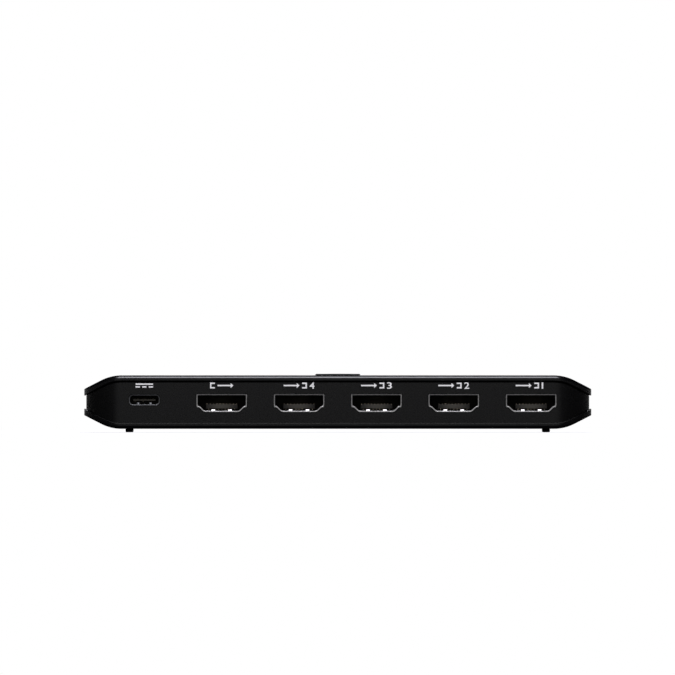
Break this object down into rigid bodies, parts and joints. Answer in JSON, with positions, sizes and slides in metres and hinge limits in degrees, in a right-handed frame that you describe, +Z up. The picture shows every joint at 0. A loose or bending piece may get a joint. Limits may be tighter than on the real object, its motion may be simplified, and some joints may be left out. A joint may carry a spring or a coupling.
{
  "type": "video switch box",
  "caption": "Low rectangular video switch box with sloped ends, a push button on top, a row of sockets along one long side and a remote-sensor window on the other.",
  "frame": {"origin": "middle of the footprint, on the surface that the feet stand on", "axes": "+X along the length, to the right when facing the sockets; +Y from the socket side to the sensor side; +Z up"},
  "size_m": [0.147, 0.066, 0.017],
  "materials": {
    "cover_plastic": "fine moulded texture, bevelled long edges",
    "frame_plastic": "fine moulded texture",
    "button_plastic": "satin moulded",
    "smoked_acrylic": "polished, nearly black",
    "foot_rubber": "matt",
    "screw_steel": "black zinc",
    "socket_steel": "nickel-plated sheet",
    "tinned_steel": "tin-plated sheet",
    "spring_steel": "plated spring sheet",
    "insulator_plastic": "moulded",
    "contact_gold": "gold flash",
    "board_laminate": "solder mask",
    "chip_epoxy": "moulded epoxy",
    "can_aluminium": "drawn can",
    "ceramic_body": "fired ceramic",
    "led_lens": "clear resin on a white base",
    "clear_acrylic": "frosted at the tips"
  },
  "bodies": {
    "case": {"top_cover": "cover_plastic", "bottom_cover": "cover_plastic", "middle_frame": "frame_plastic", "ir_window": "smoked_acrylic", "foot_strip_left": "foot_rubber", "foot_strip_right": "foot_rubber", "case_screws": "screw_steel", "tact_switch_base": "insulator_plastic", "tact_switch_cover": "tinned_steel", "tact_switch_dome": "spring_steel", "tact_switch_terminals": "tinned_steel", "main_board": "board_laminate", "power_inlet_shell": "tinned_steel", "power_inlet_insulator": "insulator_plastic", "power_inlet_contacts": "contact_gold", "power_inlet_riser": "insulator_plastic", "switch_chip": "chip_epoxy", "controller_chip": "chip_epoxy", "crystal_can": "tinned_steel", "power_inductor": "chip_epoxy", "regulator": "chip_epoxy", "bulk_capacitors": "can_aluminium", "ceramic_capacitors": "ceramic_body", "chip_resistors": "chip_epoxy", "surge_arrays": "chip_epoxy", "ir_receiver": "chip_epoxy", "ir_receiver_leads": "tinned_steel", "status_leds": "led_lens", "indicator_light_guide": "clear_acrylic", "video_out_shell": "socket_steel", "video_out_insulator": "insulator_plastic", "video_out_contacts": "contact_gold", "video_in_4_shell": "socket_steel", "video_in_4_insulator": "insulator_plastic", "video_in_4_contacts": "contact_gold", "video_in_3_shell": "socket_steel", "video_in_3_insulator": "insulator_plastic", "video_in_3_contacts": "contact_gold", "video_in_2_shell": "socket_steel", "video_in_2_insulator": "insulator_plastic", "video_in_2_contacts": "contact_gold", "video_in_1_shell": "socket_steel", "video_in_1_insulator": "insulator_plastic", "video_in_1_contacts": "contact_gold"},
    "button": {"select_button": "button_plastic", "tact_switch_plunger": "button_plastic"}
  },
  "joints": [
    {"name": "button_press", "type": "slide", "parent": "case", "child": "button", "axis": [0, 0, -1], "range_m": [0, 0.0003], "stiffness_N_per_m": 5000, "deforming": ["tact_switch_dome"]}
  ]
}
